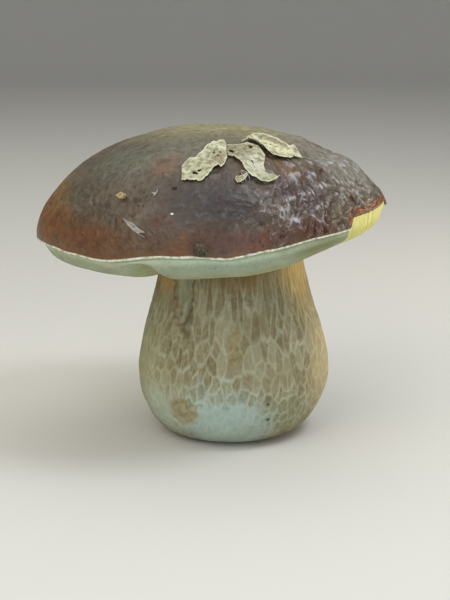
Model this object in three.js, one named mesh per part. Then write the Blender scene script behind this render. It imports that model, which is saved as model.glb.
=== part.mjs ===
// A porcini mushroom as picked, standing on its trimmed foot: a broad, wet, wrinkled brown cap,
// the layer of tubes under it, and a stout stem with a raised net. Scraps of a dry leaf and two
// crumbs stick to the cap. Millimetres, +Z up. The origin is the middle of the flat foot,
// -Y is the front and +X is to the right of it.

import * as THREE from "three";

// Driving dimensions of the cap, as it would be if it were round and level.
const CAP_RADIUS = 70;
const RIM_HEIGHT = 86.5; // of the cap's edge above the foot
const DOME_RISE = 36.5; // of the crown above the edge
const LEFT_SHOULDER = { fullness: 2.9, slope: 0.5 }; // full and round
const RIGHT_SHOULDER = { fullness: 2.2, slope: 0.95 }; // falling away to a thin edge
const FLESH_RISE = 8; // of the flat under the flesh, where the stem joins, above the edge
const EDGE_ROLL = 1.1; // height of the pale edge that overhangs the tubes
const TUBE_INSET = 1.6; // of the tubes' outer top corner behind the cap's edge
const GAP = 0.3; // between pieces that touch

// Driving dimensions of the stem.
const FOOT_RADIUS = 20.5;
const NECK_RADIUS = 28.5;
const STEM_TOP = RIM_HEIGHT + FLESH_RISE - GAP;
const BELLY_SHIFT = 1.1; // of the stem's widest part to the right
const STEM_WAVES = [[2, 0.4, 0.7], [5, 0, 0.4]]; // crests round it, start and height
const STEM_TWISTS = [30, 11]; // height over which each of those waves turns by a radian

// The stem's net of raised ridges.
const NET_HEIGHT = 0.75; // of the ridges above the stem
const NET_COLUMNS = 42;
const NET_ROWS = 12;
const NET_FOOT = 3.5; // heights between which the net runs
const NET_TOP = 77;
const NET_POINT = 0.26; // how far a cell's head and foot reach past its row, as a share of it
const NET_STRAY = { round: 0.37, along: 0.18 }; // most that a corner strays, as shares of a step
const NET_FLOOR = { round: 0.66, along: 0.74 }; // size of a cell's floor, as shares of the cell

// How the grown cap departs from a round and level one. Each wave round its edge is given by its
// number of crests, where it starts and its height.
const REACH_WAVES = [[3, 0.6, 0.9], [5, 2.4, 0.7]];
const DROOP_WAVES = [[2, 0.9, 0.6], [7, 0.3, 0.35]];
const OVAL = 0.06; // it is shallower from front to back by this share
const RIM_SHIFT = -8.5; // its edge hangs further out on the left
const RIM_LEAN = Math.tan(THREE.MathUtils.degToRad(5.6)); // its edge climbs to the right
const NOTCH_MIDDLE = THREE.MathUtils.degToRad(-19); // the edge is eaten away here
const NOTCH_HALF_WIDTH = THREE.MathUtils.degToRad(20.5);
const NOTCH_SIDES = 0.25; // share of the half width over which it begins and ends
const NOTCH_LIFT = 4.5;
const NOTCH_PULL = 1.6;
const NOTCH_FADE = 14; // height over which it fades out above the edge
const CLEFT_ANGLE = THREE.MathUtils.degToRad(-115); // a fold in the tubes that runs in from the edge
const CLEFT_HALF_WIDTH = THREE.MathUtils.degToRad(8);
const CLEFT_SIDES = 0.9;
const CLEFT_DEPTH = 5;
const CLEFT_TOP = 1.5; // heights under the edge over which the fold deepens
const CLEFT_FULL = 8;
const EDGE_RISES = [ // angle in degrees, and how far the cap's edge is raised there
  [-180, 1.5],
  [-158, 1.6],
  [-148, 0.8],
  [-138, -0.3],
  [-124, -1.4],
  [-106, 0.1],
  [-96, -0.8],
  [-84, -2.5],
  [-72, -1.2],
  [-58, -0.5],
  [-42, -1.5],
  [0, -1.5],
  [40, 0],
  [150, 0],
  [180, 1.5],
];
const RISE_FADE = { above: 20, below: 9 }; // height over which those fade out

const CAP_COLUMNS = 90; // a multiple of three, so that the pores close up round the ring
const DOME_ROWS = 15;
const PORE_ROWS = 17;
const PORE_DEPTH = 1.8;
const TUBE_LENGTHS = { left: 1, right: 0.5 }; // as shares of the round cap's

const SCRAP_THICKNESS = 0.7;
const CRUMB_ROUGHNESS = 0.12;

const { clamp, lerp, smoothstep } = THREE.MathUtils;

/** A source of random numbers from 0 to 1 that gives the same draw each time. */
function seeded(seed) {
  let state = seed;
  return () => {
    state = (state * 1664525 + 1013904223) % 4294967296;
    return state / 4294967296;
  };
}

/** Collects points and the faces between them, and gives them back as a geometry. */
class Skin {
  points = [];
  corners = [];

  add(point) {
    return this.points.push(point) - 1;
  }

  ring(points) {
    return points.map((point) => this.add(point));
  }

  face(...indices) {
    for (let i = 2; i < indices.length; i++) {
      this.corners.push(indices[0], indices[i - 1], indices[i]);
    }
  }

  fan(centre, ring) {
    ring.forEach((corner, i) => this.face(centre, corner, ring[(i + 1) % ring.length]));
  }

  /**
   * Joins two rings of as many points, the second above the first as seen from outside. Each square
   * is split along one of its diagonals, and along the other one where it is mirrored.
   */
  band(lower, upper, mirrored = false) {
    lower.forEach((corner, i) => {
      const next = (i + 1) % lower.length;
      if (mirrored) this.face(lower[next], upper[next], upper[i], corner);
      else this.face(corner, lower[next], upper[next], upper[i]);
    });
  }

  geometry() {
    const made = new THREE.BufferGeometry().setFromPoints(this.points);
    made.setIndex(this.corners);
    made.computeVertexNormals();
    return made;
  }
}

const around = (radius, angle, height) =>
  new THREE.Vector3(radius * Math.cos(angle), radius * Math.sin(angle), height);

const sumOfWaves = (waves, angle) =>
  waves.reduce((sum, [crests, start, size]) => sum + size * Math.sin(crests * angle + start), 0);

/** How far an angle is into a window, from 0 at its sides to 1 in its middle. */
function windowShare(angle, middle, halfWidth, edge) {
  const away = Math.abs(Math.atan2(Math.sin(angle - middle), Math.cos(angle - middle)));
  return 1 - smoothstep(away, halfWidth * (1 - edge), halfWidth);
}

// The grown form of the cap.

/** How far to the right of the cap an angle is, from 0 past a turning place to 1 at the right. */
const rightness = (angle, turning) => smoothstep((1 + Math.cos(angle)) / 2, turning, 1);

/** Height of the dome at a distance from its axis. */
function domeHeight(radius, angle) {
  const share = clamp(radius / CAP_RADIUS, 0, 1);
  const right = rightness(angle, 0.3);
  const fullness = lerp(LEFT_SHOULDER.fullness, RIGHT_SHOULDER.fullness, right);
  const slope = lerp(LEFT_SHOULDER.slope, RIGHT_SHOULDER.slope, right);
  return RIM_HEIGHT + DOME_RISE * (1 - share ** fullness) ** slope;
}

/** How far the cap's edge is raised at an angle, eased from one of the given angles to the next. */
function edgeRise(angle) {
  const degrees = THREE.MathUtils.radToDeg(Math.atan2(Math.sin(angle), Math.cos(angle)));
  const next = Math.max(1, EDGE_RISES.findIndex(([at]) => at >= degrees));
  const [[from, low], [to, high]] = EDGE_RISES.slice(next - 1, next + 1);
  return lerp(low, high, smoothstep(degrees, from, to));
}

/** The slow lumps and the folds of the wet skin, strongest on the right. */
function lumps(x, y) {
  const right = smoothstep(x, -10, 50);
  const broad = 0.35 * Math.sin(x / 9 + 1.3 * Math.sin(y / 13)) * Math.sin(y / 8 + 0.7);
  const folds = 0.55 * Math.sin((x - 0.5 * y) / 3.4 + 1.5 * Math.sin(y / 9)) * right;
  return broad + folds;
}

/** Moves a point of the round cap to where the grown one has it. Inside the neck it stays. */
function grown(point) {
  const radius = Math.hypot(point.x, point.y);
  const angle = Math.atan2(point.y, point.x);
  const reached = clamp((radius - NECK_RADIUS) / (CAP_RADIUS - NECK_RADIUS), 0, 1);
  const outward = reached ** 2;
  const wave = sumOfWaves(REACH_WAVES, angle);
  const droop = sumOfWaves(DROOP_WAVES, angle);

  // The notch and the fold act on the edge, and fade out above and below it.
  const above = point.z - RIM_HEIGHT;
  const nearEdge = Math.min(1 - above / NOTCH_FADE, smoothstep(above, -6, -0.5));
  const atNotch = windowShare(angle, NOTCH_MIDDLE, NOTCH_HALF_WIDTH, NOTCH_SIDES);
  const eaten = atNotch * Math.max(nearEdge, 0) * reached ** 5;
  const atCleft = windowShare(angle, CLEFT_ANGLE, CLEFT_HALF_WIDTH, CLEFT_SIDES);
  const folded = atCleft * reached * smoothstep(-above, CLEFT_TOP, CLEFT_FULL);
  const fade = above > 0 ? above / RISE_FADE.above : -above / RISE_FADE.below;
  const rise = edgeRise(angle) * outward * (1 - smoothstep(fade, 0, 1));

  const reach = radius + wave * outward - NOTCH_PULL * eaten - CLEFT_DEPTH * 0.6 * folded;
  const moved = around(reach, angle, point.z);
  moved.y *= 1 - OVAL * outward;
  moved.z += RIM_LEAN * moved.x * reached + droop * outward;
  moved.z += NOTCH_LIFT * eaten + CLEFT_DEPTH * folded + rise;
  moved.x += RIM_SHIFT * outward;
  return moved;
}

/** A point on the cap's skin, over a place in plan, lifted off it. */
function onCap(x, y, lift = 0) {
  const radius = Math.hypot(x, y);
  const angle = Math.atan2(y, x);
  const height = domeHeight(radius, angle);
  const steep = (height - domeHeight(radius + 0.1, angle)) / 0.1;
  const normal = around(steep, angle, 1).normalize();
  const fade = 1 - smoothstep(radius, CAP_RADIUS - 8, CAP_RADIUS);
  const skin = new THREE.Vector3(x, y, height);
  return grown(skin.addScaledVector(normal, lift + lumps(x, y) * fade));
}

/** Height of the underside of the cap's flesh, which is flat where the stem joins. */
function fleshHeight(radius) {
  const outward = clamp((radius - NECK_RADIUS) / (CAP_RADIUS - NECK_RADIUS), 0, 1);
  return RIM_HEIGHT + FLESH_RISE * (1 - outward ** 2);
}

const UNDERSIDE_RADII = [NECK_RADIUS + 3, 44, 56, 65.5]; // of the rings where tubes meet flesh

/** The cap: skin, flesh and the pale edge, turned round and then grown out of round. */
function cap() {
  const skin = new Skin();
  const angles = Array.from({ length: CAP_COLUMNS }, (_, i) => (i * 2 * Math.PI) / CAP_COLUMNS);
  const ringAt = (place) => skin.ring(angles.map(place));
  const under = UNDERSIDE_RADII.map((radius) =>
    ringAt((angle) => grown(around(radius, angle, fleshHeight(radius)))),
  );
  const roll = [
    [CAP_RADIUS - 1.2, -0.1 * EDGE_ROLL],
    [CAP_RADIUS - 0.5, -0.3 * EDGE_ROLL],
    [CAP_RADIUS, 0.4 * EDGE_ROLL],
  ].map(([radius, rise]) => ringAt((angle) => grown(around(radius, angle, RIM_HEIGHT + rise))));
  const dome = Array.from({ length: DOME_ROWS }, (_, row) => {
    const radius = CAP_RADIUS * Math.sin((Math.PI / 2) * (1 - (row + 0.45) / (DOME_ROWS + 0.45)));
    return ringAt((angle) => onCap(radius * Math.cos(angle), radius * Math.sin(angle)));
  });
  const rings = [...under, ...roll, ...dome];
  rings.slice(1).forEach((upper, i) => skin.band(rings[i], upper));
  const crown = skin.add(onCap(0, 0));
  skin.fan(crown, rings.at(-1));
  const middle = skin.add(new THREE.Vector3(0, 0, fleshHeight(0)));
  skin.fan(middle, [...rings[0]].reverse());
  return skin.geometry();
}

// The layer of tubes.

/** The outline of the tubes' free side, from the outer top corner in to the stem. */
const tubeOutline = new THREE.SplineCurve(
  [
    [CAP_RADIUS - TUBE_INSET, -0.1 * EDGE_ROLL - GAP],
    [CAP_RADIUS - 2.2, -2.4],
    [CAP_RADIUS - 5.5, -7.2],
    [CAP_RADIUS - 12, -10.8],
    [CAP_RADIUS - 21, -12.2],
    [CAP_RADIUS - 31, -11.2],
    [NECK_RADIUS + 5, -9.6],
    [NECK_RADIUS + GAP, -7.5],
  ].map(([radius, rise]) => new THREE.Vector2(radius, RIM_HEIGHT + rise)),
);

/** How long the tubes are at an angle, as a share of the round cap's. */
const tubeLength = (angle) => lerp(TUBE_LENGTHS.left, TUBE_LENGTHS.right, rightness(angle, 0.55));

/**
 * The layer of tubes: a ring under the cap with a relief of pores, larger than life. Each row of
 * points is half a step round from the last, and every third point is the bottom of a pore.
 */
function tubeLayer() {
  const skin = new Skin();
  const step = (2 * Math.PI) / CAP_COLUMNS;
  const last = PORE_ROWS - 1;
  const top = tubeOutline.points[0].y;
  const poreRows = Array.from({ length: PORE_ROWS }, (_, row) => {
    const share = row / last;
    const place = tubeOutline.getPointAt(share);
    const along = tubeOutline.getTangentAt(share);
    const inward = new THREE.Vector2(along.y, -along.x);
    const edge = row === 0 || row === last;
    const depth = edge ? 0 : PORE_DEPTH * smoothstep(share, 0, 0.35);
    return skin.ring(
      Array.from({ length: CAP_COLUMNS }, (_, i) => {
        const pit = (((i - row) % 3) + 3) % 3 === 0 ? depth : 0;
        const at = place.clone().addScaledVector(inward, pit);
        const angle = (i + row / 2) * step;
        return grown(around(at.x, angle, lerp(top, at.y, tubeLength(angle))));
      }),
    );
  });
  poreRows.slice(1).forEach((inner, k) => {
    const outer = poreRows[k];
    outer.forEach((corner, i) => {
      const next = (i + 1) % CAP_COLUMNS;
      skin.face(outer[next], corner, inner[i]);
      skin.face(outer[next], inner[i], inner[next]);
    });
  });

  // The side that lies against the flesh, from the stem out to the corner under the edge.
  const turn = last / 2;
  const covered = [NECK_RADIUS + GAP, ...UNDERSIDE_RADII].map((radius) =>
    skin.ring(
      Array.from({ length: CAP_COLUMNS }, (_, i) =>
        grown(around(radius, (i + turn) * step, fleshHeight(radius) - GAP)),
      ),
    ),
  );
  const corner = poreRows[0].map((_, i) => poreRows[0][(i + turn) % CAP_COLUMNS]);
  const rings = [poreRows.at(-1), ...covered, corner].map((ring) => [...ring].reverse());
  rings.slice(1).forEach((outer, k) => skin.band(rings[k], outer, true));
  return skin.geometry();
}

// The stem.

const stemOutline = new THREE.SplineCurve(
  [
    [FOOT_RADIUS, 0],
    [28, 2.6],
    [33.6, 9],
    [36.9, 17.5],
    [37.8, 26],
    [36.5, 36],
    [33.8, 47],
    [30.6, 59],
    [28.8, 69],
    [NECK_RADIUS, 78],
    [NECK_RADIUS, STEM_TOP],
  ].map(([radius, height]) => new THREE.Vector2(radius, height)),
);
stemOutline.arcLengthDivisions = 400;

/** How far along its outline, from 0 to 1, the stem reaches a height. */
function stemShareAt(height) {
  let low = 0;
  let high = 1;
  for (let i = 0; i < 30; i++) {
    const middle = (low + high) / 2;
    if (stemOutline.getPointAt(middle).y < height) low = middle;
    else high = middle;
  }
  return low;
}

/** A point on the stem, by its turn from 0 to 1 and its share of the outline, lifted off it. */
function onStem(turn, share, lift) {
  const angle = 2 * Math.PI * turn;
  const place = stemOutline.getPointAt(share);
  const along = stemOutline.getTangentAt(share);
  const height = place.y + lift * -along.x;
  const belly = Math.sin(Math.PI * clamp(height / NET_TOP, 0, 1));
  const twisted = STEM_WAVES.map(([crests, start, size], i) => {
    return [crests, start + height / STEM_TWISTS[i], size];
  });
  const made = around(place.x + lift * along.y + sumOfWaves(twisted, angle) * belly, angle, height);
  made.x += BELLY_SHIFT * belly;
  return made;
}

/**
 * The stem: a net of raised ridges round upright, pointed cells. The cells stand in courses, each
 * half a cell round from the last, with their corners drawn a little out of place.
 */
function stem() {
  const skin = new Skin();
  const draw = seeded(7);
  const stray = (most) => 2 * most * (draw() - 0.5);
  const corners = 2 * NET_COLUMNS;
  const low = stemShareAt(NET_FOOT);
  const high = stemShareAt(NET_TOP);
  const course = (high - low) / NET_ROWS;

  // The corners of the cells, in rings between the courses. Those that start a wall upwards sit
  // higher than those that end one, which gives each cell its pointed foot and head.
  const nodes = Array.from({ length: NET_ROWS + 1 }, (_, k) =>
    Array.from({ length: corners }, (_, i) => {
      if (k === 0 || k === NET_ROWS) return { turn: i / corners, share: low + course * k, lift: 0 };
      const point = (i + k) % 2 ? -NET_POINT : NET_POINT;
      const fade = smoothstep(k, 0, 2) * (1 - smoothstep(k, NET_ROWS - 1.5, NET_ROWS));
      return {
        turn: (i + stray(NET_STRAY.round)) / corners,
        share: low + course * (k + point + stray(NET_STRAY.along)),
        lift: NET_HEIGHT * fade * lerp(0.6, 1, draw()),
      };
    }),
  );
  const crests = nodes.map((ring) =>
    skin.ring(ring.map((node) => onStem(node.turn, node.share, node.lift))),
  );

  const wrap = (i) => ((i % corners) + corners) % corners;
  for (let k = 0; k < NET_ROWS; k++) {
    for (let j = 0; j < NET_COLUMNS; j++) {
      const first = 2 * j + (k % 2);
      const outline = [
        [k, first],
        [k, first + 1],
        [k, first + 2],
        [k + 1, first + 2],
        [k + 1, first + 1],
        [k + 1, first],
      ];
      const cell = outline.map(([row, i]) => {
        const node = nodes[row][wrap(i)];
        return { turn: node.turn + (i - wrap(i)) / corners, share: node.share };
      });
      const mean = (key) => cell.reduce((sum, node) => sum + node[key], 0) / cell.length;
      const middle = { turn: mean("turn"), share: mean("share") };
      const floor = cell.map(({ turn, share }) => {
        const floorTurn = lerp(middle.turn, turn, NET_FLOOR.round);
        return skin.add(onStem(floorTurn, lerp(middle.share, share, NET_FLOOR.along), 0));
      });
      const wall = outline.map(([row, i]) => crests[row][wrap(i)]);
      wall.forEach((corner, i) => {
        const next = (i + 1) % wall.length;
        skin.face(corner, wall[next], floor[next], floor[i]);
      });
      skin.face(...floor);
    }
  }

  // The plain foot and neck.
  const plainRing = (share) =>
    skin.ring(Array.from({ length: corners }, (_, i) => onStem(i / corners, share, 0)));
  const foot = plainRing(0);
  const neck = plainRing(stemShareAt(NET_TOP + 3));
  const top = plainRing(1);
  skin.band(foot, crests[0]);
  skin.band(crests.at(-1), neck);
  skin.band(neck, top);
  skin.fan(skin.add(new THREE.Vector3(0, 0, 0)), [...foot].reverse());
  skin.fan(skin.add(new THREE.Vector3(0, 0, STEM_TOP)), top);
  return skin.geometry();
}

// What sticks to the cap.

/** The point over a place in plan that stands off the grown cap's skin by a lift. */
function overCap(x, y, lift) {
  const guess = new THREE.Vector2(x, y);
  let point;
  for (let i = 0; i < 12; i++) {
    point = onCap(guess.x, guess.y, lift);
    guess.set(guess.x + x - point.x, guess.y + y - point.y);
  }
  return point;
}

/**
 * A thin curled scrap that lies on the cap. Its rows run along it, and each gives the place in plan
 * and the lift of its back edge and of its front edge. Between them it sags to the skin.
 */
function scrap({ rows, across = 4, rest = 0.7 }) {
  const skin = new Skin();
  const grid = rows.map(([back, front]) =>
    Array.from({ length: across + 1 }, (_, i) => {
      const share = i / across;
      const [x, y, lift] = front.map((value, axis) => lerp(value, back[axis], share));
      const low = lerp(lift, Math.min(rest, lift), Math.sin(Math.PI * share));
      return [low, low + SCRAP_THICKNESS].map((height) => skin.add(overCap(x, y, height)));
    }),
  );
  const last = grid.length - 1;
  for (let k = 0; k < last; k++) {
    const [near, far] = [grid[k], grid[k + 1]];
    for (let i = 0; i < across; i++) {
      skin.face(near[i + 1][1], near[i][1], far[i][1]);
      skin.face(near[i + 1][1], far[i][1], far[i + 1][1]);
      skin.face(far[i][0], near[i][0], near[i + 1][0]);
      skin.face(far[i + 1][0], far[i][0], near[i + 1][0]);
    }
    skin.face(far[0][0], far[0][1], near[0][1], near[0][0]);
    skin.face(near[across][0], near[across][1], far[across][1], far[across][0]);
  }
  for (let i = 0; i < across; i++) {
    skin.face(grid[0][i][0], grid[0][i][1], grid[0][i + 1][1], grid[0][i + 1][0]);
    skin.face(grid[last][i + 1][0], grid[last][i + 1][1], grid[last][i][1], grid[last][i][0]);
  }
  return skin.geometry();
}

const leftScrap = {
  rows: [
    [[-18, -48, 1.6], [-18, -53, 0.7]],
    [[-16.5, -44, 1.2], [-14.5, -54, 0.8]],
    [[-12.5, -42, 1.2], [-10, -54.5, 1.2]],
    [[-9, -36.5, 2.2], [-7.5, -52, 1.6]],
    [[-6, -35, 2.8], [-5, -49.5, 2]],
    [[-2.8, -34.5, 3.4], [-3, -50.5, 2.4]],
    [[-1.8, -38.5, 2.4], [-1.4, -45, 2]],
  ],
};
const middleScrap = {
  rows: [
    [[-0.6, -38.5, 1], [0.2, -43.8, 1.4]],
    [[3.6, -33, 1.2], [3.2, -45.5, 1.8]],
    [[8.2, -31.5, 1.2], [5.5, -50, 2.2]],
    [[12.5, -37, 1], [7.6, -51.5, 2.2]],
    [[12, -44, 0.8], [11.5, -52, 2]],
    [[13.8, -47.4, 0.8], [14.9, -50.8, 2.2]],
    [[16, -47.6, 2], [17.7, -48.4, 2.6]],
  ],
};
const rightScrap = {
  rows: [
    [[6.2, -23, 1.6], [4, -28, 1.2]],
    [[8.9, -19.5, 2.2], [8.4, -29.5, 3.4]],
    [[12.2, -18, 2.6], [11.7, -34, 3.4]],
    [[17.3, -20, 2.6], [15.5, -37, 2.6]],
    [[21.6, -23.5, 2.2], [20.8, -35, 1.8]],
    [[24.2, -22.5, 2.4], [23.8, -30, 1.2]],
    [[26, -25, 1.6], [27.3, -28, 1.2]],
  ],
};
const smallScrap = {
  rows: [
    [[2, -51.4, 0.8], [1.5, -53, 0.8]],
    [[3.7, -50.8, 1], [3.5, -54.2, 1]],
    [[5.4, -51.4, 1.6], [5.7, -52.8, 1.6]],
  ],
  across: 2,
};
const dryHusk = {
  rows: [
    [[-39, -55.3, 0.8], [-39.5, -55.8, 0.8]],
    [[-35.6, -58.8, 1.1], [-36.2, -59.8, 1.1]],
    [[-33.1, -61, 1.3], [-34, -61.7, 1.3]],
    [[-31, -62.5, 1.4], [-31.2, -63.5, 1.4]],
  ],
  across: 2,
  rest: 1.1,
};

/** A lumpy crumb that sits on the cap's skin over a place in plan. */
function crumb({ at, size }) {
  const shape = new THREE.IcosahedronGeometry(size / 2, 1);
  const middle = overCap(...at, 0.5 * size * (1 + CRUMB_ROUGHNESS) + GAP);
  const place = shape.getAttribute("position");
  const point = new THREE.Vector3();
  for (let i = 0; i < place.count; i++) {
    point.fromBufferAttribute(place, i);
    const rough = Math.sin(point.x * 3 + size) * Math.sin(point.y * 4 + 2 * size);
    point.multiplyScalar(1 + CRUMB_ROUGHNESS * rough).add(middle);
    place.setXYZ(i, point.x, point.y, point.z);
  }
  return shape;
}

const soilCrumb = { at: [-10.6, -69.8], size: 5.6 };
const barkCrumb = { at: [-40.1, -51], size: 3.2 };

const material = (color, roughness) =>
  new THREE.MeshStandardMaterial({ color, roughness, metalness: 0, side: THREE.FrontSide });

const wetSkin = material("#5a3f30", 0.3);
const spongeFlesh = material("#b3b487", 0.8);
const stemFlesh = material("#b9ae84", 0.75);
const dryLeaf = material("#bdb892", 0.7);
const soil = material("#4c4232", 0.95);
const bark = material("#97805c", 0.9);
const husk = material("#8d8a7c", 0.6);

const named = (name, geometry, look) => {
  const mesh = new THREE.Mesh(geometry, look);
  mesh.name = name;
  return mesh;
};

const mushroom = new THREE.Group();
mushroom.add(
  named("cap", cap(), wetSkin),
  named("tube_layer", tubeLayer(), spongeFlesh),
  named("stem", stem(), stemFlesh),
  named("leaf_scrap_left", scrap(leftScrap), dryLeaf),
  named("leaf_scrap_middle", scrap(middleScrap), dryLeaf),
  named("leaf_scrap_right", scrap(rightScrap), dryLeaf),
  named("leaf_scrap_small", scrap(smallScrap), dryLeaf),
  named("dry_husk", scrap(dryHusk), husk),
  named("soil_crumb", crumb(soilCrumb), soil),
  named("bark_crumb", crumb(barkCrumb), bark),
);

export default mushroom;
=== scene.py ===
# Looks for a picked porcini mushroom: wet wrinkled cap, layer of tubes, netted stem and the forest
# litter that sticks to the cap. Lengths in the dictionaries are millimetres, angles degrees.
# The front is towards -Y, and angles run round Z from +X.
import bpy
import bmesh
import math
import random
import numpy as np
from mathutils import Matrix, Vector, kdtree, noise


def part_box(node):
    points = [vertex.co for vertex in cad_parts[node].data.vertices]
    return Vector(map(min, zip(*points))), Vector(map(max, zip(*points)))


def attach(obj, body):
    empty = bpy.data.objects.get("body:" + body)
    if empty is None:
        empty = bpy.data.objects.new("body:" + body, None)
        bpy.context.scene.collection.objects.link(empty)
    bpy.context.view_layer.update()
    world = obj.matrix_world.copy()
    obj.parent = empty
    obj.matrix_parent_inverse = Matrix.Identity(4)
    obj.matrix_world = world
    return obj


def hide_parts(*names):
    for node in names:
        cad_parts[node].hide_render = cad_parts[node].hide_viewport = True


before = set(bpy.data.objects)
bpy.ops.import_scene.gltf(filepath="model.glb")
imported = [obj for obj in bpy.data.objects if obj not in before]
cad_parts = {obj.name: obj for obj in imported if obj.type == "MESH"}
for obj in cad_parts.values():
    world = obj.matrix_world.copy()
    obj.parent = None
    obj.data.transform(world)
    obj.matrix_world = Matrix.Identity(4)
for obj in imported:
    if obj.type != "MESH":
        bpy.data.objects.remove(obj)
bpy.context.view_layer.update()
mm = 0.001
fullTurn = 2 * math.pi


# Helpers for shapes

def smoothShare(value, low, high):  # 0 below low, 1 above high, eased between
    share = np.clip((np.asarray(value, float) - low) / (high - low), 0, 1)
    return share * share * (3 - 2 * share)


def blend(low, high, share):
    return low + (high - low) * share


def roughness(points, grain, start=0.0):  # soft noise from -1 to 1 with grains of a size in mm
    scaled = np.asarray(points, float) / grain + start
    return np.array([noise.noise(p) for p in scaled.tolist()])


def throughPoints(points, share):  # places on a smooth curve, with even shares from point to point
    points = np.array(points, float)
    ends = np.vstack([2 * points[0] - points[1], points, 2 * points[-1] - points[-2]])
    spot = np.clip(share, 0, 1) * (len(points) - 1)
    index = np.minimum(spot.astype(int), len(points) - 2)
    part = (spot - index)[:, None]
    a, b, c, d = (ends[index + step] for step in range(4))
    curved = 2 * b + (c - a) * part + (2 * a - 5 * b + 4 * c - d) * part ** 2
    return 0.5 * (curved + (3 * b - a - 3 * c + d) * part ** 3)


def alongCurve(points, count):  # the same curve, cut in even steps
    fine = throughPoints(points, np.linspace(0, 1, 40 * len(points)))
    run = np.concatenate([[0], np.cumsum(np.linalg.norm(np.diff(fine, axis=0), axis=1))])
    even = np.linspace(0, run[-1], count)
    return np.stack([np.interp(even, run, column) for column in fine.T], -1)


def spunSheet(profile, columns, closed=False):  # spins (radius, height, kind) points round Z
    bm = bmesh.new()
    kind = bm.verts.layers.float.new("kind")
    corners = []
    for radius, height, mark in profile:
        corner = bm.verts.new((radius, 0, height))
        corner[kind] = mark
        corners.append(corner)
    followers = corners[1:] + corners[:1] if closed else corners[1:]
    edges = [bm.edges.new(pair) for pair in zip(corners, followers)]
    bmesh.ops.spin(bm, geom=corners + edges, cent=(0, 0, 0), axis=(0, 0, 1),
                   angle=fullTurn, steps=columns, use_merge=True)
    bmesh.ops.remove_doubles(bm, verts=bm.verts, dist=1e-5)
    bmesh.ops.recalc_face_normals(bm, faces=bm.faces)
    return bm


def placesOf(bm):
    return np.array([corner.co[:] for corner in bm.verts])


def marksOf(bm):
    kind = bm.verts.layers.float["kind"]
    return np.array([corner[kind] for corner in bm.verts])


def movePoints(bm, places):
    for corner, place in zip(bm.verts, places.tolist()):
        corner.co = place


def finishPiece(bm, name, material):  # turns millimetres into a placed piece
    bmesh.ops.scale(bm, vec=(mm, mm, mm), verts=bm.verts)
    mesh = bpy.data.meshes.new(name)
    bm.to_mesh(mesh)
    bm.free()
    mesh.polygons.foreach_set("use_smooth", [True] * len(mesh.polygons))
    mesh.materials.append(material)
    piece = bpy.data.objects.new(name, mesh)
    bpy.context.scene.collection.objects.link(piece)
    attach(piece, "root")
    return piece


def thicken(piece, thickness):
    wall = piece.modifiers.new("thickness", "SOLIDIFY")
    wall.thickness = thickness * mm
    wall.offset = 0


def paint(piece, name, values):  # one number per point, which the material reads
    made = piece.data.attributes.new(name, "FLOAT", "POINT")
    made.data.foreach_set("value", np.asarray(values, dtype=np.float32))


# Helpers for materials

def colour(code):  # sRGB hex to linear
    parts = [int(code[i:i + 2], 16) / 255 for i in (1, 3, 5)]
    return [c / 12.92 if c <= 0.04045 else ((c + 0.055) / 1.055) ** 2.4 for c in parts] + [1]


def newMaterial(name):
    made = bpy.data.materials.new(name)
    made.use_nodes = True
    tree = made.node_tree
    tree.nodes.clear()
    output = tree.nodes.new("ShaderNodeOutputMaterial")
    shader = tree.nodes.new("ShaderNodeBsdfPrincipled")
    tree.links.new(shader.outputs["BSDF"], output.inputs["Surface"])
    return made, tree, shader


def addNode(tree, kind, output, settings=None, inputs=None):  # adds a node, its settings and its links
    node = tree.nodes.new("ShaderNode" + kind)
    for key, value in (settings or {}).items():
        setattr(node, key, value)
    for key, value in (inputs or {}).items():
        if isinstance(value, bpy.types.NodeSocket):
            tree.links.new(value, node.inputs[key])
        elif isinstance(value, str):
            node.inputs[key].default_value = colour(value)
        else:
            node.inputs[key].default_value = value
    return node.outputs[output]


def mixOf(tree, share, first, second):
    return addNode(tree, "Mix", 2, {"data_type": "RGBA"}, {0: share, 6: first, 7: second})


def shareOf(tree, value, low, high, first=0.0, last=1.0):
    return addNode(tree, "MapRange", 0, {"interpolation_type": "SMOOTHSTEP"},
                   {"Value": value, "From Min": low, "From Max": high, "To Min": first, "To Max": last})


def timesOf(tree, first, second):
    return addNode(tree, "Math", 0, {"operation": "MULTIPLY"}, {0: first, 1: second})


def grainOf(tree, place, size, detail=3.0, stretch=(1, 1, 1)):  # noise with grains of a size in mm
    drawn = addNode(tree, "Mapping", 0, {}, {"Vector": place, "Scale": [1 / s for s in stretch]})
    return addNode(tree, "TexNoise", 0, {}, {"Vector": drawn, "Scale": 1 / (size * mm), "Detail": detail})


def rampOf(tree, value, stops):  # a run of colours from (place, hex) stops
    output = addNode(tree, "ValToRGB", 0, {}, {"Fac": value})
    elements = output.node.color_ramp.elements
    while len(elements) < len(stops):
        elements.new(1)
    for element, (place, code) in zip(elements, stops):
        element.position = place
        element.color = colour(code)
    return output


def attributeOf(tree, name):
    return addNode(tree, "Attribute", "Fac", {"attribute_name": name})


def wanderingPlace(tree, place, size, reach):  # the place pushed about, so that patches get ragged sides
    cloud = addNode(tree, "TexNoise", "Color", {}, {"Vector": place, "Scale": 1 / (size * mm), "Detail": 3.0})
    centred = addNode(tree, "VectorMath", 0, {"operation": "SUBTRACT"}, {0: cloud, 1: (0.5, 0.5, 0.5)})
    push = addNode(tree, "VectorMath", 0, {"operation": "SCALE"}, {0: centred, "Scale": 2 * reach * mm})
    return addNode(tree, "VectorMath", 0, {"operation": "ADD"}, {0: place, 1: push})


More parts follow.
